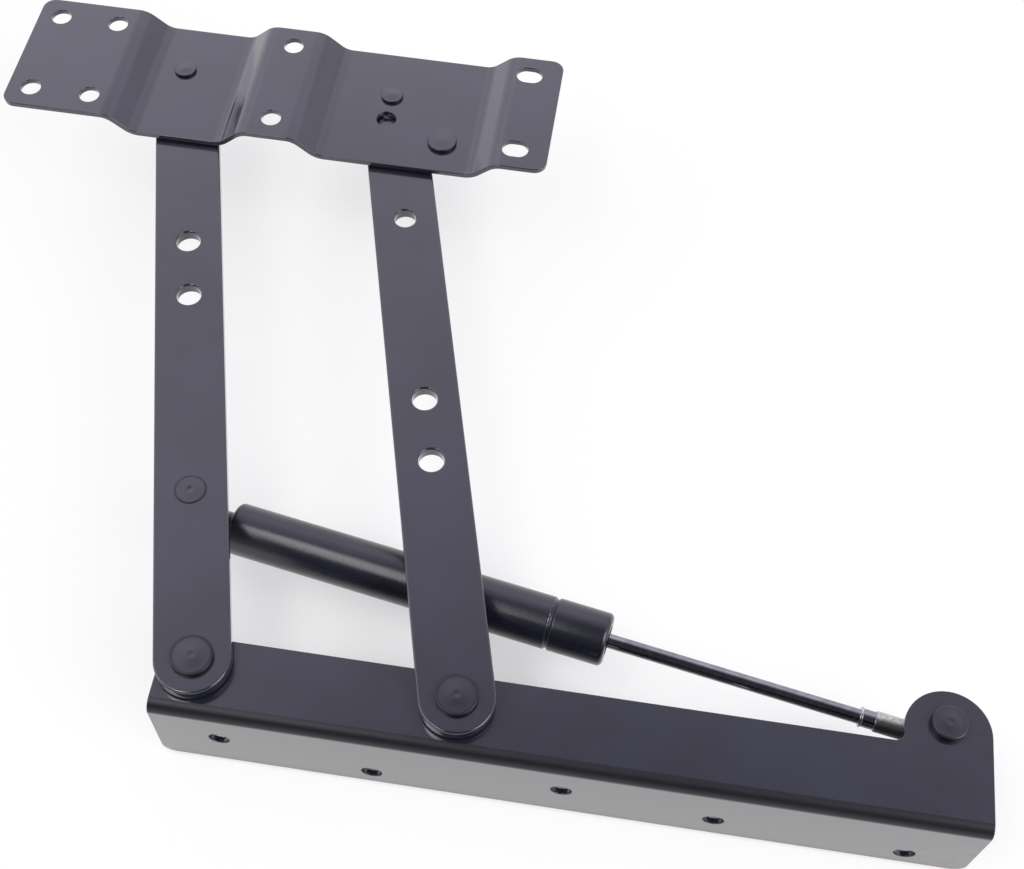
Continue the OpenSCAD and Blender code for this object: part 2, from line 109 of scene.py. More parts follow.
class MechanismSizes(bpy.types.PropertyGroup):
    """Sizes of the fine shapes that finish the sheets, rivets and gas spring."""

    edge_round: FloatProperty(
        name="Edge rounding", description="Width of the rounding along every punched edge",
        default=0.00038, min=0.0001, max=0.001, unit="LENGTH", precision=5)
    arm_edge_round: FloatProperty(
        name="Arm edge rounding",
        description="Width of the rounding along the thick arms' punched edges",
        default=0.0008, min=0.0001, max=0.002, unit="LENGTH", precision=5)
    edge_segments: IntProperty(
        name="Edge segments", description="Steps across an edge's rounding", default=3, min=1, max=6)
    rivet_crown: FloatProperty(
        name="Rivet crown", description="Rise of a rivet head's middle over its rim",
        default=0.00022, min=0.0, max=0.001, unit="LENGTH", precision=5)
    rivet_rim: FloatProperty(
        name="Rivet rim", description="Radius of a rivet head's rolled rim",
        default=0.0007, min=0.0002, max=0.0012, unit="LENGTH", precision=5)
    tube_end_round: FloatProperty(
        name="Tube end rounding",
        description="Radius of the rolled rounding at both ends of the gas tube",
        default=0.0022, min=0.001, max=0.003, unit="LENGTH", precision=5)
    groove_back: FloatProperty(
        name="Groove place", description="Distance of the gas tube's groove from its open end",
        default=0.0238, min=0.02, max=0.03, unit="LENGTH", precision=5)
    groove_half: FloatProperty(
        name="Groove half width", description="Half the width of the gas tube's rolled groove",
        default=0.00125, min=0.0005, max=0.003, unit="LENGTH", precision=5)
    groove_depth: FloatProperty(
        name="Groove depth", description="Depth of the gas tube's rolled groove",
        default=0.0008, min=0.0002, max=0.0012, unit="LENGTH", precision=5)
    turns: IntProperty(
        name="Steps around", description="Steps around every turned piece", default=96, min=24, max=192)


class MechanismColours(bpy.types.PropertyGroup):
    """Colours of the finishes."""

    paint: FloatVectorProperty(
        name="Sheet paint", description="Satin charcoal paint of the sheets and rivets",
        default=(0.014, 0.0145, 0.026), size=3, min=0.0, max=1.0, subtype="COLOR")
    enamel: FloatVectorProperty(
        name="Tube enamel", description="Black enamel of the gas tube",
        default=(0.010, 0.0105, 0.019), size=3, min=0.0, max=1.0, subtype="COLOR")
    bare_steel: FloatVectorProperty(
        name="Bare steel", description="Steel where the paint has worn through",
        default=(0.42, 0.42, 0.43), size=3, min=0.0, max=1.0, subtype="COLOR")
    nitrided: FloatVectorProperty(
        name="Polished rod", description="Ground and polished steel of the rod",
        default=(0.27, 0.27, 0.29), size=3, min=0.0, max=1.0, subtype="COLOR")
    zinc: FloatVectorProperty(
        name="Cast zinc", description="Bright casting of the rod's end fitting",
        default=(0.66, 0.64, 0.61), size=3, min=0.0, max=1.0, subtype="COLOR")
    plating: FloatVectorProperty(
        name="Plating", description="Zinc plating of washers and sleeves",
        default=(0.50, 0.51, 0.52), size=3, min=0.0, max=1.0, subtype="COLOR")
    bronze: FloatVectorProperty(
        name="Bronze", description="Sintered bronze of the rod's guide",
        default=(0.48, 0.30, 0.13), size=3, min=0.0, max=1.0, subtype="COLOR")
    rubber: FloatVectorProperty(
        name="Rubber", description="Rubber of the rod's seal",
        default=(0.012, 0.012, 0.012), size=3, min=0.0, max=1.0, subtype="COLOR")


class MechanismStudio(bpy.types.PropertyGroup):
    """The ground, lamps and camera."""

    ground: FloatVectorProperty(
        name="Ground", description="White ground", default=(0.95, 0.94, 0.90), size=3, min=0.0, max=1.0,
        subtype="COLOR")
    near_glow: FloatProperty(
        name="Near glow", description="Share of plain white that the ground shows beside the mechanism",
        default=0.8, min=0.0, max=1.0)
    front_glow: FloatProperty(
        name="Front glow", description="Share of plain white that the ground shows in front of the rail",
        default=0.9, min=0.0, max=1.0)
    tent: FloatVectorProperty(
        name="Tent", description="Colour of the white tent's lit walls",
        default=(0.89, 0.86, 1.0), size=3, min=0.0, max=1.0, subtype="COLOR")
    wall: FloatProperty(
        name="Wall", description="Brightness of the tent's walls behind and beside the mechanism",
        default=1.58, min=0.0, max=5.0)
    shade: FloatProperty(
        name="Shade", description="Brightness of the tent's roof and of its open front",
        default=0.1, min=0.0, max=2.0)
    key: FloatProperty(
        name="Key", description="Brightness of the long box over the camera's left side",
        default=5.0, min=0.0, max=40.0)
    fill: FloatProperty(
        name="Fill", description="Brightness of the large box at the right of the camera",
        default=3.5, min=0.0, max=40.0)
    camera_place: FloatVectorProperty(
        name="Camera place", description="Where the camera stands",
        default=(0.067268, -0.36748, 0.584094), size=3, subtype="TRANSLATION", unit="LENGTH",
        precision=5)
    camera_look: FloatVectorProperty(
        name="Camera direction", description="Where the camera looks",
        default=(-0.0558468, 0.5289473, -0.8468151), size=3, subtype="DIRECTION", precision=5)
    camera_up: FloatVectorProperty(
        name="Camera top", description="The direction of the picture's upper edge",
        default=(-0.1372629, 0.8360182, 0.5312556), size=3, subtype="DIRECTION", precision=5)
    focal_pixels: FloatProperty(
        name="Focal length", description="Focal length in pixels of the picture",
        default=1495.34, min=100.0)


class Wire:
    """An output socket of a shader tree. Arithmetic on it adds Math nodes."""

    def __init__(self, tree, socket):
        self.tree = tree
        self.socket = socket

    @staticmethod
    def math(operation, *values):
        """A Math node of one or more values, of which at least one is a Wire."""
        tree = next(value.tree for value in values if isinstance(value, Wire))
        node = tree.nodes.new("ShaderNodeMath")
        node.operation = operation
        for place, value in zip(node.inputs, values):
            if isinstance(value, Wire):
                tree.links.new(value.socket, place)
            else:
                place.default_value = value
        return Wire(tree, node.outputs[0])

    def __add__(self, other):
        return Wire.math("ADD", self, other)

    __radd__ = __add__

    def __sub__(self, other):
        return Wire.math("SUBTRACT", self, other)

    def __rsub__(self, other):
        return Wire.math("SUBTRACT", other, self)

    def __mul__(self, other):
        return Wire.math("MULTIPLY", self, other)

    __rmul__ = __mul__

    def __truediv__(self, other):
        return Wire.math("DIVIDE", self, other)

    def step(self, low, high):
        """0 below low, 1 above high and smooth between them."""
        node = self.tree.nodes.new("ShaderNodeMapRange")
        node.interpolation_type = "SMOOTHSTEP"
        self.tree.links.new(self.socket, node.inputs["Value"])
        node.inputs["From Min"].default_value = low
        node.inputs["From Max"].default_value = high
        return Wire(self.tree, node.outputs["Result"])


class Finish:
    """A material or a world being written."""

    def __init__(self, owner):
        self.owner = owner
        owner.use_nodes = True
        self.tree = owner.node_tree
        self.tree.nodes.clear()

    @classmethod
    def material(cls, name):
        return cls(bpy.data.materials.new(name))

    def add(self, kind, settings=None, output=0, **sockets):
        """Adds a node. settings are set first, and sockets, by name with _ for a space, take values or
        Wires."""
        node = self.tree.nodes.new("ShaderNode" + kind)
        for key, value in (settings or {}).items():
            setattr(node, key, value)
        for key, value in sockets.items():
            self.feed(node.inputs[key.replace("_", " ")], value)
        return Wire(self.tree, node.outputs[output])

    def feed(self, place, value):
        if isinstance(value, Wire):
            self.tree.links.new(value.socket, place)
        elif place.type == "RGBA":
            place.default_value = (*value[:3], 1.0)
        else:
            place.default_value = value

    def place(self, scale=(1.0, 1.0, 1.0), turn=(0.0, 0.0, 0.0), shift=(0.0, 0.0, 0.0)):
        """Object coordinates in millimetres, turned, moved and stretched."""
        here = self.add("TexCoord", output="Object")
        large = tuple(s / MM for s in scale)
        return self.add("Mapping", Vector=here, Location=shift, Rotation=turn, Scale=large)

    def noise(self, size, detail=2.0, rough=0.5, place=None):
        """Noise from 0 to 1 whose lumps are about size millimetres wide."""
        where = place or self.place()
        return self.add("TexNoise", Vector=where, Scale=1.0 / size, Detail=detail, Roughness=rough)

    def axis(self, letter, place):
        """One coordinate of a place."""
        return self.add("SeparateXYZ", output=letter, Vector=place)

    def dots(self, spacing, radius, share):
        """Small round specks: 1 inside a share of the cells of a scatter, 0 elsewhere."""
        cell = {"Vector": self.place(), "Scale": 1.0 / spacing}
        near = self.add("TexVoronoi", {"feature": "F1"}, "Distance", **cell)
        chance = self.add("TexVoronoi", {"feature": "F1"}, "Color", **cell)
        pick = self.add("SeparateColor", output="Red", Color=chance)
        inside = 1.0 - near.step(0.6 * radius / spacing, radius / spacing)
        return inside * (1.0 - pick.step(share, share + 0.001))

    def blend(self, low, high, share):
        """A colour between two colours."""
        node = self.tree.nodes.new("ShaderNodeMix")
        node.data_type = "RGBA"
        self.feed(node.inputs["Factor"], share)
        self.feed(next(s for s in node.inputs if s.name == "A" and s.type == "RGBA"), low)
        self.feed(next(s for s in node.inputs if s.name == "B" and s.type == "RGBA"), high)
        return Wire(self.tree, next(s for s in node.outputs if s.type == "RGBA"))

    def mix(self, low, high, share):
        """Ends the material with a mix of two shaders."""
        node = self.tree.nodes.new("ShaderNodeMixShader")
        self.feed(node.inputs[0], share)
        self.tree.links.new(low.socket, node.inputs[1])
        self.tree.links.new(high.socket, node.inputs[2])
        self.end(Wire(self.tree, node.outputs[0]))

    def end(self, shader, output="ShaderNodeOutputMaterial"):
        output = self.tree.nodes.new(output)
        self.tree.links.new(shader.socket, output.inputs["Surface"])

    def bump(self, height, depth, strength=1.0):
        """A normal bent by a height from 0 to 1 that stands for depth millimetres."""
        return self.add("Bump", Height=height, Distance=depth * MM, Strength=strength)

    def surface(self, **sockets):
        """Ends the material with a Principled shader and returns it."""
        self.end(self.add("BsdfPrincipled", **sockets))
        return self.owner


def between(value, low, high, blur):
    """1 between two values, smooth over blur at both ends."""
    return value.step(low - blur, low + blur) * (1.0 - value.step(high - blur, high + blur))


def shade(colour, factor):
    """A colour made lighter or darker."""
    return tuple(min(1.0, c * factor) for c in colour)


def bend_shadow(f):
    """1 on the outer bend of the rail, by the distance in millimetres from its flange's and its web's
    outer face. The paint is darkened there as a painted shade."""
    low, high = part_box("base_rail")
    here = f.place()
    out = f.axis("Y", here) - low.y / MM
    down = high.z / MM - f.axis("Z", here)
    return (1.0 - out.step(4.4, 5.2)) * (1.0 - down.step(3.4, 5.0))


def bend_shade_and_scratches(f):
    """1 on the rail's outer bend, where it draws a painted shade, and up to 0.8 on fine scratches along
    the rail, which gather at its right end."""
    bend = bend_shadow(f)
    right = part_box("base_rail")[1].x / MM
    gather = f.axis("X", f.place()).step(right - 70.0, right - 5.0)
    lines = f.noise(0.5, 2.0, 0.5, f.place(scale=(0.06, 1.0, 1.0)))
    return bend + (1.0 - bend) * (lines + gather * 0.07).step(0.75, 0.8) * 0.8


def ridges(f):
    """1 on the rims and sides of the turned heads, where it draws a painted shadow ring, and on the gas
    tube's shoulders, where it draws chips, from their own attribute."""
    return f.add("Attribute", {"attribute_name": "ridge"}, "Fac")


def sheet_paint(name, colour, bare, wear, dull=0.0):
    """Satin paint on rolled sheet. It has large cloudy marks, faint rolling streaks, a fine orange peel,
    a few pale specks of dust and, where wear is over 0, scuffed spots that show the steel. dull is
    the share of the paint that is darkened and loses its gloss, as a painted shade and on the rail
    as scratches, or the function that draws it as a mask."""
    f = Finish.material(name)
    painted_shade_and_dull = dull(f) if callable(dull) else dull
    cloud = f.noise(34.0, 3.0, 0.55)
    smudge = f.noise(7.0, 4.0, 0.6, f.place(scale=(0.55, 1.0, 1.0)))
    streak = f.noise(1.6, 2.0, 0.5, f.place(scale=(0.05, 1.0, 1.0)))
    peel = f.noise(0.8, 2.0, 0.5)
    wave = f.noise(16.0, 1.0, 0.4)
    dust = f.dots(5.5, 0.22, 0.22)
    tone = cloud.step(0.3, 0.72)
    painted = f.blend(shade(colour, 0.82), shade(colour, 1.22), tone)
    painted = f.blend(painted, shade(colour, 1.6), smudge.step(0.56, 0.8) * 0.35)
    # Painted shade: the masked paint is darkened towards a third of its colour; on the rail's scratches
    # this is their own darkness
    painted = f.blend(painted, shade(colour, 0.35), painted_shade_and_dull)
    painted = f.blend(painted, shade(colour, 7.0), dust * 0.5)
    scuff = f.noise(1.3, 4.0, 0.65).step(0.74 - 0.22 * wear, 0.84 - 0.2 * wear) * min(1.0, 0.25 + wear)
    worn = f.blend(painted, bare, scuff)
    rough = 0.17 + (cloud - 0.5) * 0.06 + (smudge - 0.5) * 0.10 + (streak - 0.5) * 0.03 + dust * 0.25
    rough = rough + painted_shade_and_dull * 0.25
    height = peel * 0.5 + smudge * 0.25 + dust * 0.5 + wave * 1.2
    return f.surface(
        Base_Color=worn, Roughness=rough, Metallic=scuff * 0.8, IOR=1.5, Coat_Weight=1.0 - painted_shade_and_dull,
        Coat_Roughness=0.12, Normal=f.bump(height, 0.006))


def tube_enamel(name, colour, bare):
    """Semi-gloss enamel on drawn tube, with faint runs along it, dust and small chips on its ridges."""
    f = Finish.material(name)
    cloud = f.noise(22.0, 3.0, 0.5)
    peel = f.noise(1.1, 2.0, 0.5)
    fine = f.noise(0.35, 2.0, 0.6)
    dust = f.dots(4.5, 0.16, 0.18)
    ridge = ridges(f)
    chip = (f.noise(0.5, 4.0, 0.7) * 0.8 + ridge * 0.34).step(0.74, 0.78) * ridge
    painted = f.blend(shade(colour, 0.8), shade(colour, 1.3), cloud.step(0.3, 0.7))
    painted = f.blend(painted, shade(colour, 9.0), dust * 0.4)
    worn = f.blend(painted, bare, chip)
    rough = 0.27 + (cloud - 0.5) * 0.08 + (fine - 0.5) * 0.06 + dust * 0.3
    return f.surface(
        Base_Color=worn, Roughness=rough, Metallic=chip * 0.9, IOR=1.5, Coat_Weight=0.35,
        Coat_Roughness=0.26, Normal=f.bump(peel * 0.6 + fine * 0.2 + dust * 0.6, 0.008))


def rolled_metal(name, colour, rough, grind, depth=0.004, cast=0.0):
    """Metal with fine marks. grind stretches them along a piece's own u direction, and cast adds dull
    pits."""
    f = Finish.material(name)
    uv = f.add("TexCoord", output="UV")
    lines = f.add("TexNoise", Vector=f.add("Mapping", Vector=uv, Scale=(2.0, grind, 1.0)),
                  Scale=1.0, Detail=3.0, Roughness=0.6)
    stain = f.noise(3.2, 4.0, 0.6)
    pits = f.noise(0.5, 3.0, 0.6)
    toned = f.blend(shade(colour, 0.72), shade(colour, 1.1), stain.step(0.25, 0.7))
    toned = f.blend(toned, shade(colour, 0.3), pits.step(0.6, 0.75) * cast)
    value = rough + (lines - 0.5) * 0.12 + (stain - 0.5) * 0.10 + pits * 0.3 * cast
    return f.surface(
        Base_Color=toned, Roughness=value, Metallic=1.0, Normal=f.bump(lines + pits * 2.0 * cast, depth))


def cast_fitting(name, colour, dark, ring_end, collar_end):
    """The rod's end fitting: a bright ring, a dark polished collar and a dull mottled casting, told
    apart by their distance along the gas spring. A painted shade darkens the casting's side towards the
    rail."""
    f = Finish.material(name)
    turn = -math.atan2(SPRING_ALONG.y, SPRING_ALONG.x)
    start = Matrix.Rotation(turn, 3, "Z") @ SPRING_FROM / MM
    here = f.place(turn=(0.0, 0.0, turn), shift=(-start.x, -start.y, 0.0))
    along = f.axis("X", here)
    painted_side_shade = 1.0 - f.axis("Y", here).step(-1.6, 0.6)
    casting = along.step(collar_end - 0.2, collar_end + 0.2)
    collar = along.step(ring_end - 0.1, ring_end + 0.1) * (1.0 - casting)
    mottle = f.noise(1.6, 4.0, 0.65)
    grain = f.noise(0.45, 3.0, 0.6)
    tone = f.blend(shade(colour, 0.55), colour, mottle.step(0.3, 0.68))
    tone = f.blend(tone, shade(colour, 0.25), grain.step(0.6, 0.72) * casting * 0.8)
    # Painted shade: the casting's side towards the rail is darkened nearly to black
    tone = f.blend(tone, shade(colour, 0.1), painted_side_shade * casting * 0.85)
    tone = f.blend(tone, dark, collar)
    rough = 0.2 + collar * -0.08 + casting * (0.12 + mottle * 0.2)
    return f.surface(Base_Color=tone, Roughness=rough, Metallic=1.0,
                     Normal=f.bump((mottle * 0.7 + grain * 0.5) * (casting * 0.9 + 0.1), 0.05))


def soft_rubber(name, colour):
    """Dull rubber with a fine grain."""
    f = Finish.material(name)
    grain = f.noise(0.3, 3.0, 0.6)
    toned = f.blend(shade(colour, 0.7), shade(colour, 1.5), f.noise(2.0))
    return f.surface(Base_Color=toned, Roughness=0.6 + (grain - 0.5) * 0.2, Normal=f.bump(grain, 0.01))


FINISHES = {}


def finish_materials():
    """Every finish by name, made once."""
    if not FINISHES:
        c = bpy.context.scene.mechanism_colours
        fitting_start = spring_profile("rod_eye")[1].min() / MM
        FINISHES.update(
            sheet=sheet_paint("sheet_paint", c.paint, c.bare_steel, 0.0),
            rim=sheet_paint("sheet_edge_paint", shade(c.paint, 1.5), c.bare_steel, 0.35),
            # Edges and hole walls of the rail and the arms: their paint is darkened half way to a
            # painted shade and is half as glossy
            dull_rim=sheet_paint("shaded_dull_edge_paint", c.paint, c.bare_steel, 0.1, 0.5),
            rail=sheet_paint("rail_paint", c.paint, c.bare_steel, 0.0, bend_shade_and_scratches),
            # The rivets' heads take a painted shadow ring on their rims and sides from the ridge
            # attribute
            rivet=sheet_paint("rivet_paint", shade(c.paint, 0.85), c.bare_steel, 0.05, ridges),
            enamel=tube_enamel("tube_enamel", c.enamel, c.bare_steel),
            rod=rolled_metal("polished_rod", c.nitrided, 0.08, 9.0, 0.001),
            fitting=cast_fitting(
                "cast_fitting", c.zinc, c.nitrided, fitting_start + 1.0, fitting_start + 6.1),
            plated=rolled_metal("zinc_plating", c.plating, 0.3, 4.0),
            turned=rolled_metal("turned_steel", c.bare_steel, 0.28, 30.0),
            bronze=rolled_metal("sintered_bronze", c.bronze, 0.42, 2.0, 0.01, 0.8),
            rubber=soft_rubber("seal_rubber", c.rubber))
    return FINISHES


def arc(centre_r, centre_h, radius, start, end, steps=6):
    """Points of an arc in the half plane of a revolved piece, as (r, h), with angles in degrees."""
    a = np.radians(np.linspace(start, end, steps + 1))
    return np.column_stack([centre_r + radius * np.cos(a), centre_h + radius * np.sin(a)])


def fine(profile, limit):
    """The profile with points added, so that none of its straight runs is longer than limit."""
    rows = [profile[:1]]
    for low, high in zip(profile[:-1], profile[1:]):
        count = max(1, int(np.ceil(np.linalg.norm(high - low) / limit)))
        share = np.arange(1, count + 1)[:, None] / count
        rows.append(low + (high - low) * share)
    return np.vstack(rows)


def axes_from(direction):
    """Two unit vectors square to a direction and to each other, and the direction itself, as rows."""
    n = Vector(direction).normalized()
    side = n.cross(Vector((0, 0, 1))) if abs(n.z) < 0.9 else Vector((1, 0, 0))
    side.normalize()
    return np.array([side, n.cross(side), n])


def revolve(name, profile, origin, direction, turns, ridge=None, second=None):
    """A surface of revolution: the point at angle a and profile point (r, h) is
    origin + r cos(a) x + r sin(a) y + h n, where n is the direction and x and y are square to it.
    The profile is closed on the axis or on itself. Its u runs around in turns and v along it in
    millimetres. ridge gives each profile point's share of wear on the gas tube and of painted shade
    on a rivet head, and second marks the profile's runs that take the second finish."""
    x, y, n = axes_from(direction)
    a = np.linspace(0.0, 2.0 * np.pi, turns, endpoint=False)
    r = profile[:, 0][:, None, None]
    h = profile[:, 1][:, None, None]
    around = np.cos(a)[None, :, None] * x + np.sin(a)[None, :, None] * y
    points = np.array(origin)[None, None, :] + r * around + h * n
    rows, columns = points.shape[:2]
    index = np.arange(rows * columns).reshape(rows, columns)
    right = np.roll(index, -1, axis=1)
    faces = np.stack([index[:-1], right[:-1], right[1:], index[1:]], axis=-1).reshape(-1, 4)
    mesh = bpy.data.meshes.new(name)
    mesh.from_pydata(points.reshape(-1, 3).tolist(), [], faces.tolist())
    run = np.concatenate([[0.0], np.cumsum(np.linalg.norm(np.diff(profile, axis=0), axis=1))]) / MM
    u = np.arange(columns) / columns
    corner_u = np.stack([u, u + 1 / columns, u + 1 / columns, u], axis=-1)[None].repeat(rows - 1, 0)
    corner_v = np.stack([run[:-1], run[:-1], run[1:], run[1:]], axis=-1)[:, None].repeat(columns, 1)
    uv = mesh.uv_layers.new(name="around")
    uv.data.foreach_set("uv", np.stack([corner_u, corner_v], axis=-1).reshape(-1).astype(np.float32))
    if second is not None:
        mesh.polygons.foreach_set("material_index", np.repeat(second, columns).astype(np.int32))
    if ridge is not None:
        layer = mesh.attributes.new("ridge", "FLOAT", "POINT")
        layer.data.foreach_set("value", np.repeat(ridge, columns).astype(np.float32))
    return closed_piece(name, mesh)


def closed_piece(name, mesh):
    """Joins doubled points, turns the faces outwards, shades the mesh smooth up to 35 degrees and makes
    the object."""
    work = bmesh.new()
    work.from_mesh(mesh)
    bmesh.ops.remove_doubles(work, verts=work.verts, dist=1e-7)
    bmesh.ops.recalc_face_normals(work, faces=work.faces)
    work.to_mesh(mesh)
    work.free()
    mesh.polygons.foreach_set("use_smooth", np.ones(len(mesh.polygons), bool))
    mesh.set_sharp_from_angle(angle=math.radians(35))
    piece = bpy.data.objects.new(name, mesh)
    bpy.context.scene.collection.objects.link(piece)
    return piece


def stands_for(piece, node, finish):
    """The piece takes a node's place and body and a finish, and the node is hidden."""
    piece.data.materials.clear()
    for one in finish if isinstance(finish, (list, tuple)) else [finish]:
        piece.data.materials.append(one)
    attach(piece, frame["nodes"][node]["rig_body"])
    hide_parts(node)


def rounded_sheet(node, width, segments):
    """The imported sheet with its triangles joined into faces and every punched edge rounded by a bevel,
    which takes the second finish."""
    mesh = bpy.data.meshes.new(node + "_sheet")
    work = bmesh.new()
    work.from_mesh(frame["nodes"][node].data)
    bmesh.ops.remove_doubles(work, verts=work.verts, dist=1e-6)
    bmesh.ops.dissolve_limit(work, angle_limit=math.radians(0.5), verts=work.verts, edges=work.edges)
    work.to_mesh(mesh)
    work.free()
    mesh.polygons.foreach_set("use_smooth", np.ones(len(mesh.polygons), bool))
    mesh.polygons.foreach_set("material_index", np.zeros(len(mesh.polygons), int))
    piece = bpy.data.objects.new(node + "_sheet", mesh)
    bpy.context.scene.collection.objects.link(piece)
    bevel = piece.modifiers.new("rounded_edges", "BEVEL")
    bevel.width = width
    bevel.segments = segments
    bevel.limit_method = "ANGLE"
    bevel.angle_limit = math.radians(50)
    bevel.use_clamp_overlap = False
    bevel.loop_slide = False
    bevel.material = 1
    flat_faces(piece)
    return piece


def top_loops(node):
    """The closed edges of a flat piece's top face in plan, each as an array of points with the metal on
    its left."""
    work = bmesh.new()
    work.from_mesh(frame["nodes"][node].data)
    bmesh.ops.remove_doubles(work, verts=work.verts, dist=1e-6)
    work.verts.index_update()
    work.verts.ensure_lookup_table()
    work.normal_update()
    after = {}
    for face in work.faces:
        if face.normal.z > 0.99:
            for loop in face.loops:
                if loop.link_loop_radial_next.face.normal.z < 0.99:
                    after[loop.vert.index] = loop.link_loop_next.vert.index
    loops = []
    while after:
        start, here = next(iter(after)), None
        chain = []
        while here != start:
            here = start if here is None else here
            chain.append(work.verts[here].co.xy[:])
            here = after.pop(here)
        loops.append(np.array(chain))
    work.free()
    return loops


def inset(points, distance):
    """A closed edge moved into the metal: each point goes along the sum of its two sides' normals, so
    that both sides move by the distance."""
    side = np.roll(points, -1, axis=0) - points
    side /= np.linalg.norm(side, axis=1)[:, None]
    normal = np.column_stack([-side[:, 1], side[:, 0]])
    both = normal + np.roll(normal, 1, axis=0)
    return points + distance * 2.0 * both / (both ** 2).sum(1)[:, None]


def flat_strip(node, width, steps):
    """A flat piece with rounded edges. Every closed edge of its top face is drawn at each step of a
    profile: at the angle a the edge lies w (1 - cos a) into the metal and w (1 - sin a) from the top
    or bottom, where w is the width. The faces close the outermost steps and take the first finish,
    and the rest takes the second."""
    low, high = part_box(node)
    loops = top_loops(node)
    a = np.radians(np.linspace(0.0, 90.0, steps + 1))
    into = width * (1.0 - np.cos(a))
    up = width * np.sin(a)
    depths = np.concatenate([into[::-1], into])
    levels = np.concatenate([(low.z + width - up)[::-1], high.z - width + up])
    count = sum(map(len, loops))
    rings = [np.column_stack([np.vstack([inset(loop, d) for loop in loops]), np.full(count, h)])
             for d, h in zip(depths, levels)]
    after = np.concatenate([start + np.roll(np.arange(len(loop)), -1) for start, loop in
                            zip(np.cumsum([0] + [len(loop) for loop in loops[:-1]]), loops)])
    here = np.arange(count)
    walls = np.vstack([np.column_stack([k * count + here, k * count + after, (k + 1) * count + after,
                                        (k + 1) * count + here]) for k in range(len(rings) - 1)])
    plan = [[Vector((*p, 0.0)) for p in inset(loop, width)] for loop in loops]
    flat = np.array(tessellate_polygon(plan))
    ends = np.vstack([flat, flat + (len(rings) - 1) * count])
    mesh = bpy.data.meshes.new(node + "_strip")
    mesh.from_pydata(np.vstack(rings).tolist(), [], walls.tolist() + ends.tolist())
    finishes = np.repeat([1, 0], [len(walls), len(ends)])
    mesh.polygons.foreach_set("material_index", finishes.astype(np.int32))
    piece = closed_piece(node + "_strip", mesh)
    flat_faces(piece)
    return piece


def flat_faces(piece):
    """Keeps the shading of large faces flat beside their rounded edges."""
    weighted = piece.modifiers.new("flat_faces", "WEIGHTED_NORMAL")
    weighted.mode = "FACE_AREA"
    weighted.weight = 60


class MECHANISM_OT_sheets(bpy.types.Operator):
    """Finishes the rail, both arms and the top plate as painted, punched sheet"""

    bl_idname = "mechanism.sheets"
    bl_label = "Sheets"

    def execute(self, context):
        sizes = context.scene.mechanism_sizes
        f = finish_materials()
        for node, face, rim in (("base_rail", "rail", "dull_rim"), ("top_plate", "sheet", "rim")):
            piece = rounded_sheet(node, sizes.edge_round, sizes.edge_segments)
            stands_for(piece, node, [f[face], f[rim]])
        for node in ("left_arm", "right_arm"):
            piece = flat_strip(node, sizes.arm_edge_round, 2 * sizes.edge_segments)
            stands_for(piece, node, [f["sheet"], f["dull_rim"]])
        return {"FINISHED"}


def head_profile(radius, height, rim, crown, pit):
    """A rivet head's profile from the rim's foot over the rolled rim and the crown to the centre mark:
    the crown rises with the cosine of r, and the mark is a cosine pit as deep as pit says."""
    side = arc(radius - rim, height - rim, rim, 0, 90, 8)
    r = np.linspace(radius - rim, 0.0, 26)[1:]
    share = r / (radius - rim)
    top = height + crown * 0.5 * (1 + np.cos(np.pi * share))
    mark = 0.5 * (1 + np.cos(np.pi * np.minimum(r / MARK_RADIUS, 1.0)))
    crowned = np.column_stack([r, top - pit * mark])
    return np.vstack([[[radius, 0.0]], side, crowned])


class MECHANISM_OT_rivets(bpy.types.Operator):
    """Makes the rivets, the stop pin and the tube's stud with rolled rims, crowns and centre marks"""

    bl_idname = "mechanism.rivets"
    bl_label = "Rivets"

    def execute(self, context):
        sizes = context.scene.mechanism_sizes
        paint = finish_materials()["rivet"]
        on_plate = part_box("left_top_washer")[1].z + PLATE_THICK
        # Columns: node, the head's seat height, the rim's share, the centre mark's depth, and how many
        # of the head's first profile points carry the painted shadow ring
        for node, seat, rim_share, pit, dark in (
                ("left_base_rivet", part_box("left_arm")[1].z + HEAD_CLEAR, 1.0, 0.0001, 12),
                ("right_base_rivet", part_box("right_arm")[1].z + HEAD_CLEAR, 1.0, 0.0001, 12),
                ("ear_rivet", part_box("left_base_washer")[0].z, 1.2, 0.0001, 9),
                ("tube_stud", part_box("left_arm")[1].z, 0.35, 0.0002, 12),
                ("left_top_rivet", on_plate, 0.45, 0.0, 8),
                ("right_top_rivet", on_plate, 0.45, 0.0, 8),
                ("stop_pin", on_plate, 0.8, 0.0, 8)):
            self.make(node, seat, rim_share * sizes.rivet_rim, pit, dark, sizes, paint)
        return {"FINISHED"}

    def make(self, node, seat, rim, pit, dark, sizes, paint):
        """One turned head with its shank and formed end. The ridge, which darkens the paint as a painted
            shadow ring round the head, is 1 up to the head's first points, as many as dark says, and
            fades over three more."""
        low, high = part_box(node)
        # Heads whose crown rises only by a share of the others'
        flatter = {"stop_pin": 0.5, "tube_stud": 0.5}
        mid = (low + high) / 2
        radius = head_radius(node)
        height = high.z - seat
        shank = shank_radius(node)
        crown = sizes.rivet_crown * flatter.get(node, 1.0)
        head = head_profile(radius, height - crown, min(rim, 0.8 * (height - crown)), crown, pit)
        head[:, 1] += seat
        foot = foot_profile(node, low.z, seat, shank)
        profile = np.vstack([foot, head])
        ridge = np.clip((len(foot) + dark - np.arange(len(profile))) / 3.0, 0.0, 1.0)
        piece = revolve(node + "_turned", profile, (mid.x, mid.y, 0.0), (0, 0, 1), sizes.turns, ridge)
        stands_for(piece, node, paint)


def mesh_points(node):
    """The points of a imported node's mesh, one in each row."""
    points = np.empty(len(frame["nodes"][node].data.vertices) * 3, np.float32)
    frame["nodes"][node].data.vertices.foreach_get("co", points)
    return points.reshape(-1, 3).astype(float)


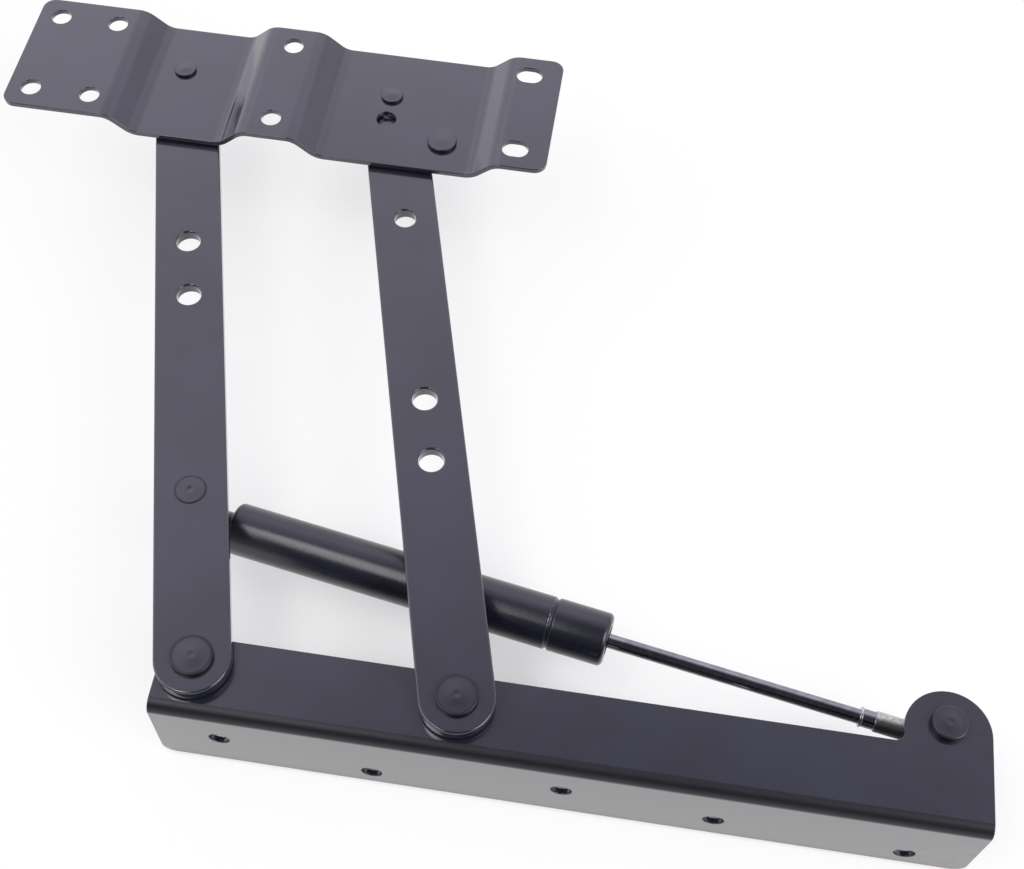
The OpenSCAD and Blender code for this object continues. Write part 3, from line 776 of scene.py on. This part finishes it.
def upright(node):
    """The points of an upright turned piece as distance from its axis and height."""
    points = mesh_points(node)
    centre = (points[:, :2].max(0) + points[:, :2].min(0)) / 2
    return np.linalg.norm(points[:, :2] - centre, axis=1), points[:, 2]


def head_radius(node):
    """The largest radius near the top."""
    r, z = upright(node)
    return r[z >= z.max() - HEAD_DEPTH].max()


def shank_radius(node):
    """The smallest radius apart from the points on the axis."""
    r = upright(node)[0]
    return r[r > AXIS_NEAR].min()


def foot_profile(node, low, seat, shank):
    """A rivet's profile from the middle of its formed end up its shank to the head's seat. A pin
    without a formed end gets a small chamfer."""
    under_seat, lip, chamfer = 0.0005, 0.0004, 0.0002
    r, z = upright(node)
    below = z < seat - under_seat
    wide = r[below].max()
    if wide < shank + lip:
        return np.array([[0.0, low], [shank - chamfer, low], [shank, low + chamfer], [shank, seat]])
    top = z[below & (r > wide - SAME)].max()
    bulge = arc(wide - FOOT_ROUND, low + FOOT_ROUND, FOOT_ROUND, -90, 0, 6)
    return np.vstack([[[0.0, low]], bulge, [[wide, top], [shank, top], [shank, seat]]])


def spring_profile(node):
    """The points of a gas spring's piece as distance from the spring's line and distance along it."""
    away = mesh_points(node) - np.array(SPRING_FROM)
    along = away @ np.array(SPRING_ALONG)
    return np.linalg.norm(away - along[:, None] * np.array(SPRING_ALONG), axis=1), along


class MECHANISM_OT_gas_tube(bpy.types.Operator):
    """Makes the gas tube with rolled ends, a rolled groove and its hollow bore"""

    bl_idname = "mechanism.gas_tube"
    bl_label = "Gas tube"

    def execute(self, context):
        sizes = context.scene.mechanism_sizes
        r, along = spring_profile("gas_tube")
        radius, low, high = r.max(), along.min(), along.max()
        groove = high - sizes.groove_back
        mouth = r[along > high - SAME].min()
        stem = r[along < low + SAME].min()
        outer, ridge = self.outside(radius, low, high, groove, sizes)
        outer = np.vstack([[[stem, low]], outer, [[mouth, high]]])
        inner = self.inside(r, along, mouth, stem, low)
        profile = np.vstack([outer, inner])
        ridge = np.concatenate([[0.0], ridge, [0.0], np.zeros(len(inner))])
        bore = np.arange(len(profile) - 1) >= len(outer)
        piece = revolve("gas_tube_rolled", profile, SPRING_FROM, SPRING_ALONG, sizes.turns, ridge, bore)
        f = finish_materials()
        stands_for(piece, "gas_tube", [f["enamel"], f["turned"]])
        return {"FINISHED"}

    def outside(self, radius, low, high, groove, sizes):
        """The outer profile. Both ends are quarter arcs, and the groove's depth falls off from its
        middle with the square of the cosine. The ridge is 1 on the groove's shoulders and lower on
        the rounded ends."""
        e, half = sizes.tube_end_round, sizes.groove_half
        start = arc(radius - e, low + e, e, -90, 0, 10)
        end = arc(radius - e, high - e, e, 0, 90, 10)
        across = np.concatenate([[-2.2, -1.4], np.linspace(-1.0, 1.0, 25), [1.4, 2.2]])
        dip = sizes.groove_depth * np.cos(0.5 * np.pi * np.clip(across, -1.0, 1.0)) ** 2
        roll = np.column_stack([radius - dip, groove + half * across])
        profile = np.vstack([start, roll, end])
        shoulder = 0.9 * np.exp(-((profile[:, 1] - groove + 0.8 * half) / (0.35 * half)) ** 2)
        bend = np.concatenate([np.sin(np.linspace(0, np.pi, len(start))), np.zeros(len(roll)),
                               np.sin(np.linspace(0, np.pi, len(end)))])
        return profile, np.maximum(shoulder, 0.35 * bend)

    def inside(self, r, along, mouth, stem, low):
        """The bore from the open end back to the stem. At each step of the solid's bore the profile goes
        over from one of the step's two radii to the other."""
        thinnest_wall, end = 0.0012, 0.001
        wall = r < r.max() - thinnest_wall
        steps = np.sort(along[wall & (along > low + end) & (along < along.max() - end)])[::-1]
        steps = steps[np.concatenate([[True], -np.diff(steps) > SAME])]
        rows, now = [], mouth
        for h in steps:
            here = r[wall & (np.abs(along - h) < 0.5 * SAME)]
            other = here.max() if abs(here.min() - now) < SAME else here.min()
            rows += [[now, h], [other, h]]
            now = other
        return np.array(rows + [[stem, low]])


class MECHANISM_OT_rod(bpy.types.Operator):
    """Makes the polished rod and finishes the end fitting cast on it"""

    bl_idname = "mechanism.rod"
    bl_label = "Rod and end fitting"

    def execute(self, context):
        sizes = context.scene.mechanism_sizes
        f = finish_materials()
        r, along = spring_profile("piston_rod")
        radius, low, high = r.max(), along.min(), along.max()
        chamfer = 0.0003
        side = [[0.0, low], [radius - chamfer, low], [radius, low + chamfer], [radius, high - chamfer],
                [radius - chamfer, high], [0.0, high]]
        profile = fine(np.array(side), 0.006)
        piece = revolve("piston_rod_ground", profile, SPRING_FROM, SPRING_ALONG, sizes.turns)
        stands_for(piece, "piston_rod", f["rod"])
        eye_round = 0.00015
        piece = rounded_sheet("rod_eye", eye_round, 2)
        stands_for(piece, "rod_eye", [f["fitting"], f["fitting"]])
        return {"FINISHED"}


class MECHANISM_OT_hidden(bpy.types.Operator):
    """Finishes the washers, sleeves, guide, seal and piston"""

    bl_idname = "mechanism.hidden"
    bl_label = "Inner pieces"

    def execute(self, context):
        f = finish_materials()
        groups = {
            "plated": ("left_base_washer", "right_base_washer", "left_top_washer", "right_top_washer",
                       "tube_spacer", "tube_stud_washer", "rod_spacer", "rod_pin_washer"),
            "rivet": ("rod_pin",),
            "turned": ("piston", "piston_nut"),
            "rubber": ("rod_seal", "piston_ring"),
            "bronze": ("rod_guide",),
            "enamel": ("tube_eye",)}
        for finish, nodes in groups.items():
            for node in nodes:
                mesh = frame["nodes"][node].data
                mesh.materials.clear()
                mesh.materials.append(f[finish])
        return {"FINISHED"}


class MECHANISM_OT_stage(bpy.types.Operator):
    """Sets the white ground, the lamps and the camera"""

    bl_idname = "mechanism.stage"
    bl_label = "Stage"

    def execute(self, context):
        studio = context.scene.mechanism_studio
        self.ground(studio)
        self.lights(context, studio)
        self.camera(context, studio)
        context.scene.view_settings.view_transform = "Standard"
        return {"FINISHED"}

    def ground(self, studio):
        """White ground. For the rays that look at it a share of it is plain white, which grows with the
        distance from the mechanism, drops where pieces stand close over it and is nought inside the
        rail."""
        reach = 12.0
        mesh = bpy.data.meshes.new("ground")
        corners = [(-reach, -reach, 0), (reach, -reach, 0), (reach, reach, 0), (-reach, reach, 0)]
        mesh.from_pydata(corners, [], [(0, 1, 2, 3)])
        floor = bpy.data.objects.new("ground", mesh)
        bpy.context.scene.collection.objects.link(floor)
        f = Finish.material("ground_white")
        here = f.add("TexCoord", output="Object")
        away = f.add("VectorMath", {"operation": "LENGTH"}, "Value", Vector=here)
        x, y = f.axis("X", here), f.axis("Y", here)
        low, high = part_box("base_rail")
        inside = between(x, low.x, high.x, 0.002) * between(y, low.y, low.y + WEB_WIDTH, 0.002)
        seen = f.add("LightPath", output="Is Camera Ray")
        for name in ("Is Glossy Ray", "Is Transmission Ray"):
            seen = seen + f.add("LightPath", output=name)
        dull = f.add("BsdfDiffuse", Color=studio.ground)
        glow = f.add("Emission", Color=(1.0, 1.0, 1.0), Strength=1.0)
        front = 1.0 - y.step(low.y - 0.01, low.y + 0.05)
        open_sky = f.add("AmbientOcclusion", {"samples": 8}, "AO", Distance=0.06)
        near = studio.near_glow * (open_sky.step(0.35, 0.95) * 0.77 + 0.23)
        near = near + (studio.front_glow - near) * front
        share = away.step(0.4, 1.6) * (1.0 - near) + near
        f.mix(dull, glow, seen * share * (1.0 - inside))
        mesh.materials.append(f.owner)

    def lights(self, context, studio):
        """A white tent as the world: its walls are lit up to 45 degrees and fade out above, its front is
        open but for a low wall, and two boxes stand beside the camera."""
        world = bpy.data.worlds.new("tent")
        f = Finish(world)
        towards = f.add("TexCoord", output="Generated")
        x, y, z = (f.axis(letter, towards) for letter in "XYZ")
        rise = Wire.math("ARCSINE", z)
        level = Wire.math("SQRT", Wire.math("MAXIMUM", 1.0 - z * z, 1e-6))
        ahead = y / level
        band = between(rise, math.radians(33), math.radians(46), math.radians(6))
        walls = (1.0 - rise.step(math.radians(45), math.radians(86))) * (0.78 + 0.22 * band)
        closed = ahead.step(math.cos(math.radians(140)), math.cos(math.radians(110)))
        low_wall = 0.3 * (1.0 - rise.step(math.radians(5), math.radians(14)))
        aside = x / level
        sides = 1.0 + 0.35 * (1.0 - ahead.step(0.1, 0.4))
        sides = sides * (1.0 - 0.17 * aside.step(0.05, 0.7))
        high_left = rise.step(math.radians(48), math.radians(64)) * (1.0 - aside.step(-0.75, 0.2))
        sides = sides * (1.0 + 0.4 * high_left)
        share = walls * Wire.math("MAXIMUM", closed, low_wall)
        bright = studio.shade + (studio.wall * sides - studio.shade) * share
        air = f.add("Background", Color=studio.tent, Strength=bright)
        f.end(air, "ShaderNodeOutputWorld")
        context.scene.world = world
        self.panel("key_box", (-0.585, -0.65, 1.6), (-0.585, -0.65, 0.0), 0.45, 1.15, studio.key)
        self.panel("fill_box", (1.457, -0.68, 1.35), (0.0, 0.0, 0.0), 1.2, 1.2, studio.fill)

    def panel(self, name, place, target, width, height, brightness):
        """A rectangular lamp. Its power is pi times its area times its brightness, in which white is
        1."""
        lamp = bpy.data.lights.new(name, "AREA")
        lamp.shape = "RECTANGLE"
        lamp.size = width
        lamp.size_y = height
        lamp.energy = math.pi * width * height * brightness
        holder = bpy.data.objects.new(name, lamp)
        holder.location = place
        holder.rotation_euler = (Vector(target) - Vector(place)).to_track_quat("-Z", "Y").to_euler()
        holder.visible_camera = False
        bpy.context.scene.collection.objects.link(holder)

    def camera(self, context, studio):
        data = bpy.data.cameras.new("camera")
        data.sensor_width = SENSOR_WIDTH
        data.sensor_fit = "HORIZONTAL"
        data.lens = studio.focal_pixels / IMAGE_WIDTH * SENSOR_WIDTH
        look = Vector(studio.camera_look).normalized()
        right = look.cross(Vector(studio.camera_up)).normalized()
        up = right.cross(look)
        turn = Matrix((right, up, -look)).transposed().to_4x4()
        holder = bpy.data.objects.new("camera", data)
        holder.matrix_world = Matrix.Translation(Vector(studio.camera_place)) @ turn
        bpy.context.scene.collection.objects.link(holder)
        context.scene.camera = holder


class MECHANISM_PT_panel(bpy.types.Panel):
    """Lists the sizes, colours and steps of the mechanism"""

    bl_label = "Lift top mechanism"
    bl_idname = "MECHANISM_PT_panel"
    bl_space_type = "VIEW_3D"
    bl_region_type = "UI"
    bl_category = "Mechanism"

    def draw(self, context):
        for name, kind in GROUPS.items():
            box = self.layout.box()
            for key in kind.__annotations__:
                box.prop(getattr(context.scene, name), key)
        for operator in STEPS:
            self.layout.operator(operator.bl_idname)


STEPS = (MECHANISM_OT_sheets, MECHANISM_OT_rivets, MECHANISM_OT_gas_tube, MECHANISM_OT_rod,
         MECHANISM_OT_hidden, MECHANISM_OT_stage)
GROUPS = {
    "mechanism_sizes": MechanismSizes,
    "mechanism_colours": MechanismColours,
    "mechanism_studio": MechanismStudio,
}


def register():
    for group in GROUPS.values():
        bpy.utils.register_class(group)
    for name, group in GROUPS.items():
        setattr(bpy.types.Scene, name, PointerProperty(type=group))
    for one in STEPS + (MECHANISM_PT_panel,):
        bpy.utils.register_class(one)


def unregister():
    for one in reversed(STEPS + (MECHANISM_PT_panel,)):
        bpy.utils.unregister_class(one)
    for name in GROUPS:
        delattr(bpy.types.Scene, name)
    for group in GROUPS.values():
        bpy.utils.unregister_class(group)


def main():
    register()
    bpy.ops.mechanism.sheets()
    bpy.ops.mechanism.rivets()
    bpy.ops.mechanism.gas_tube()
    bpy.ops.mechanism.rod()
    bpy.ops.mechanism.hidden()
    bpy.ops.mechanism.stage()


if __name__ == "__main__":
    main()
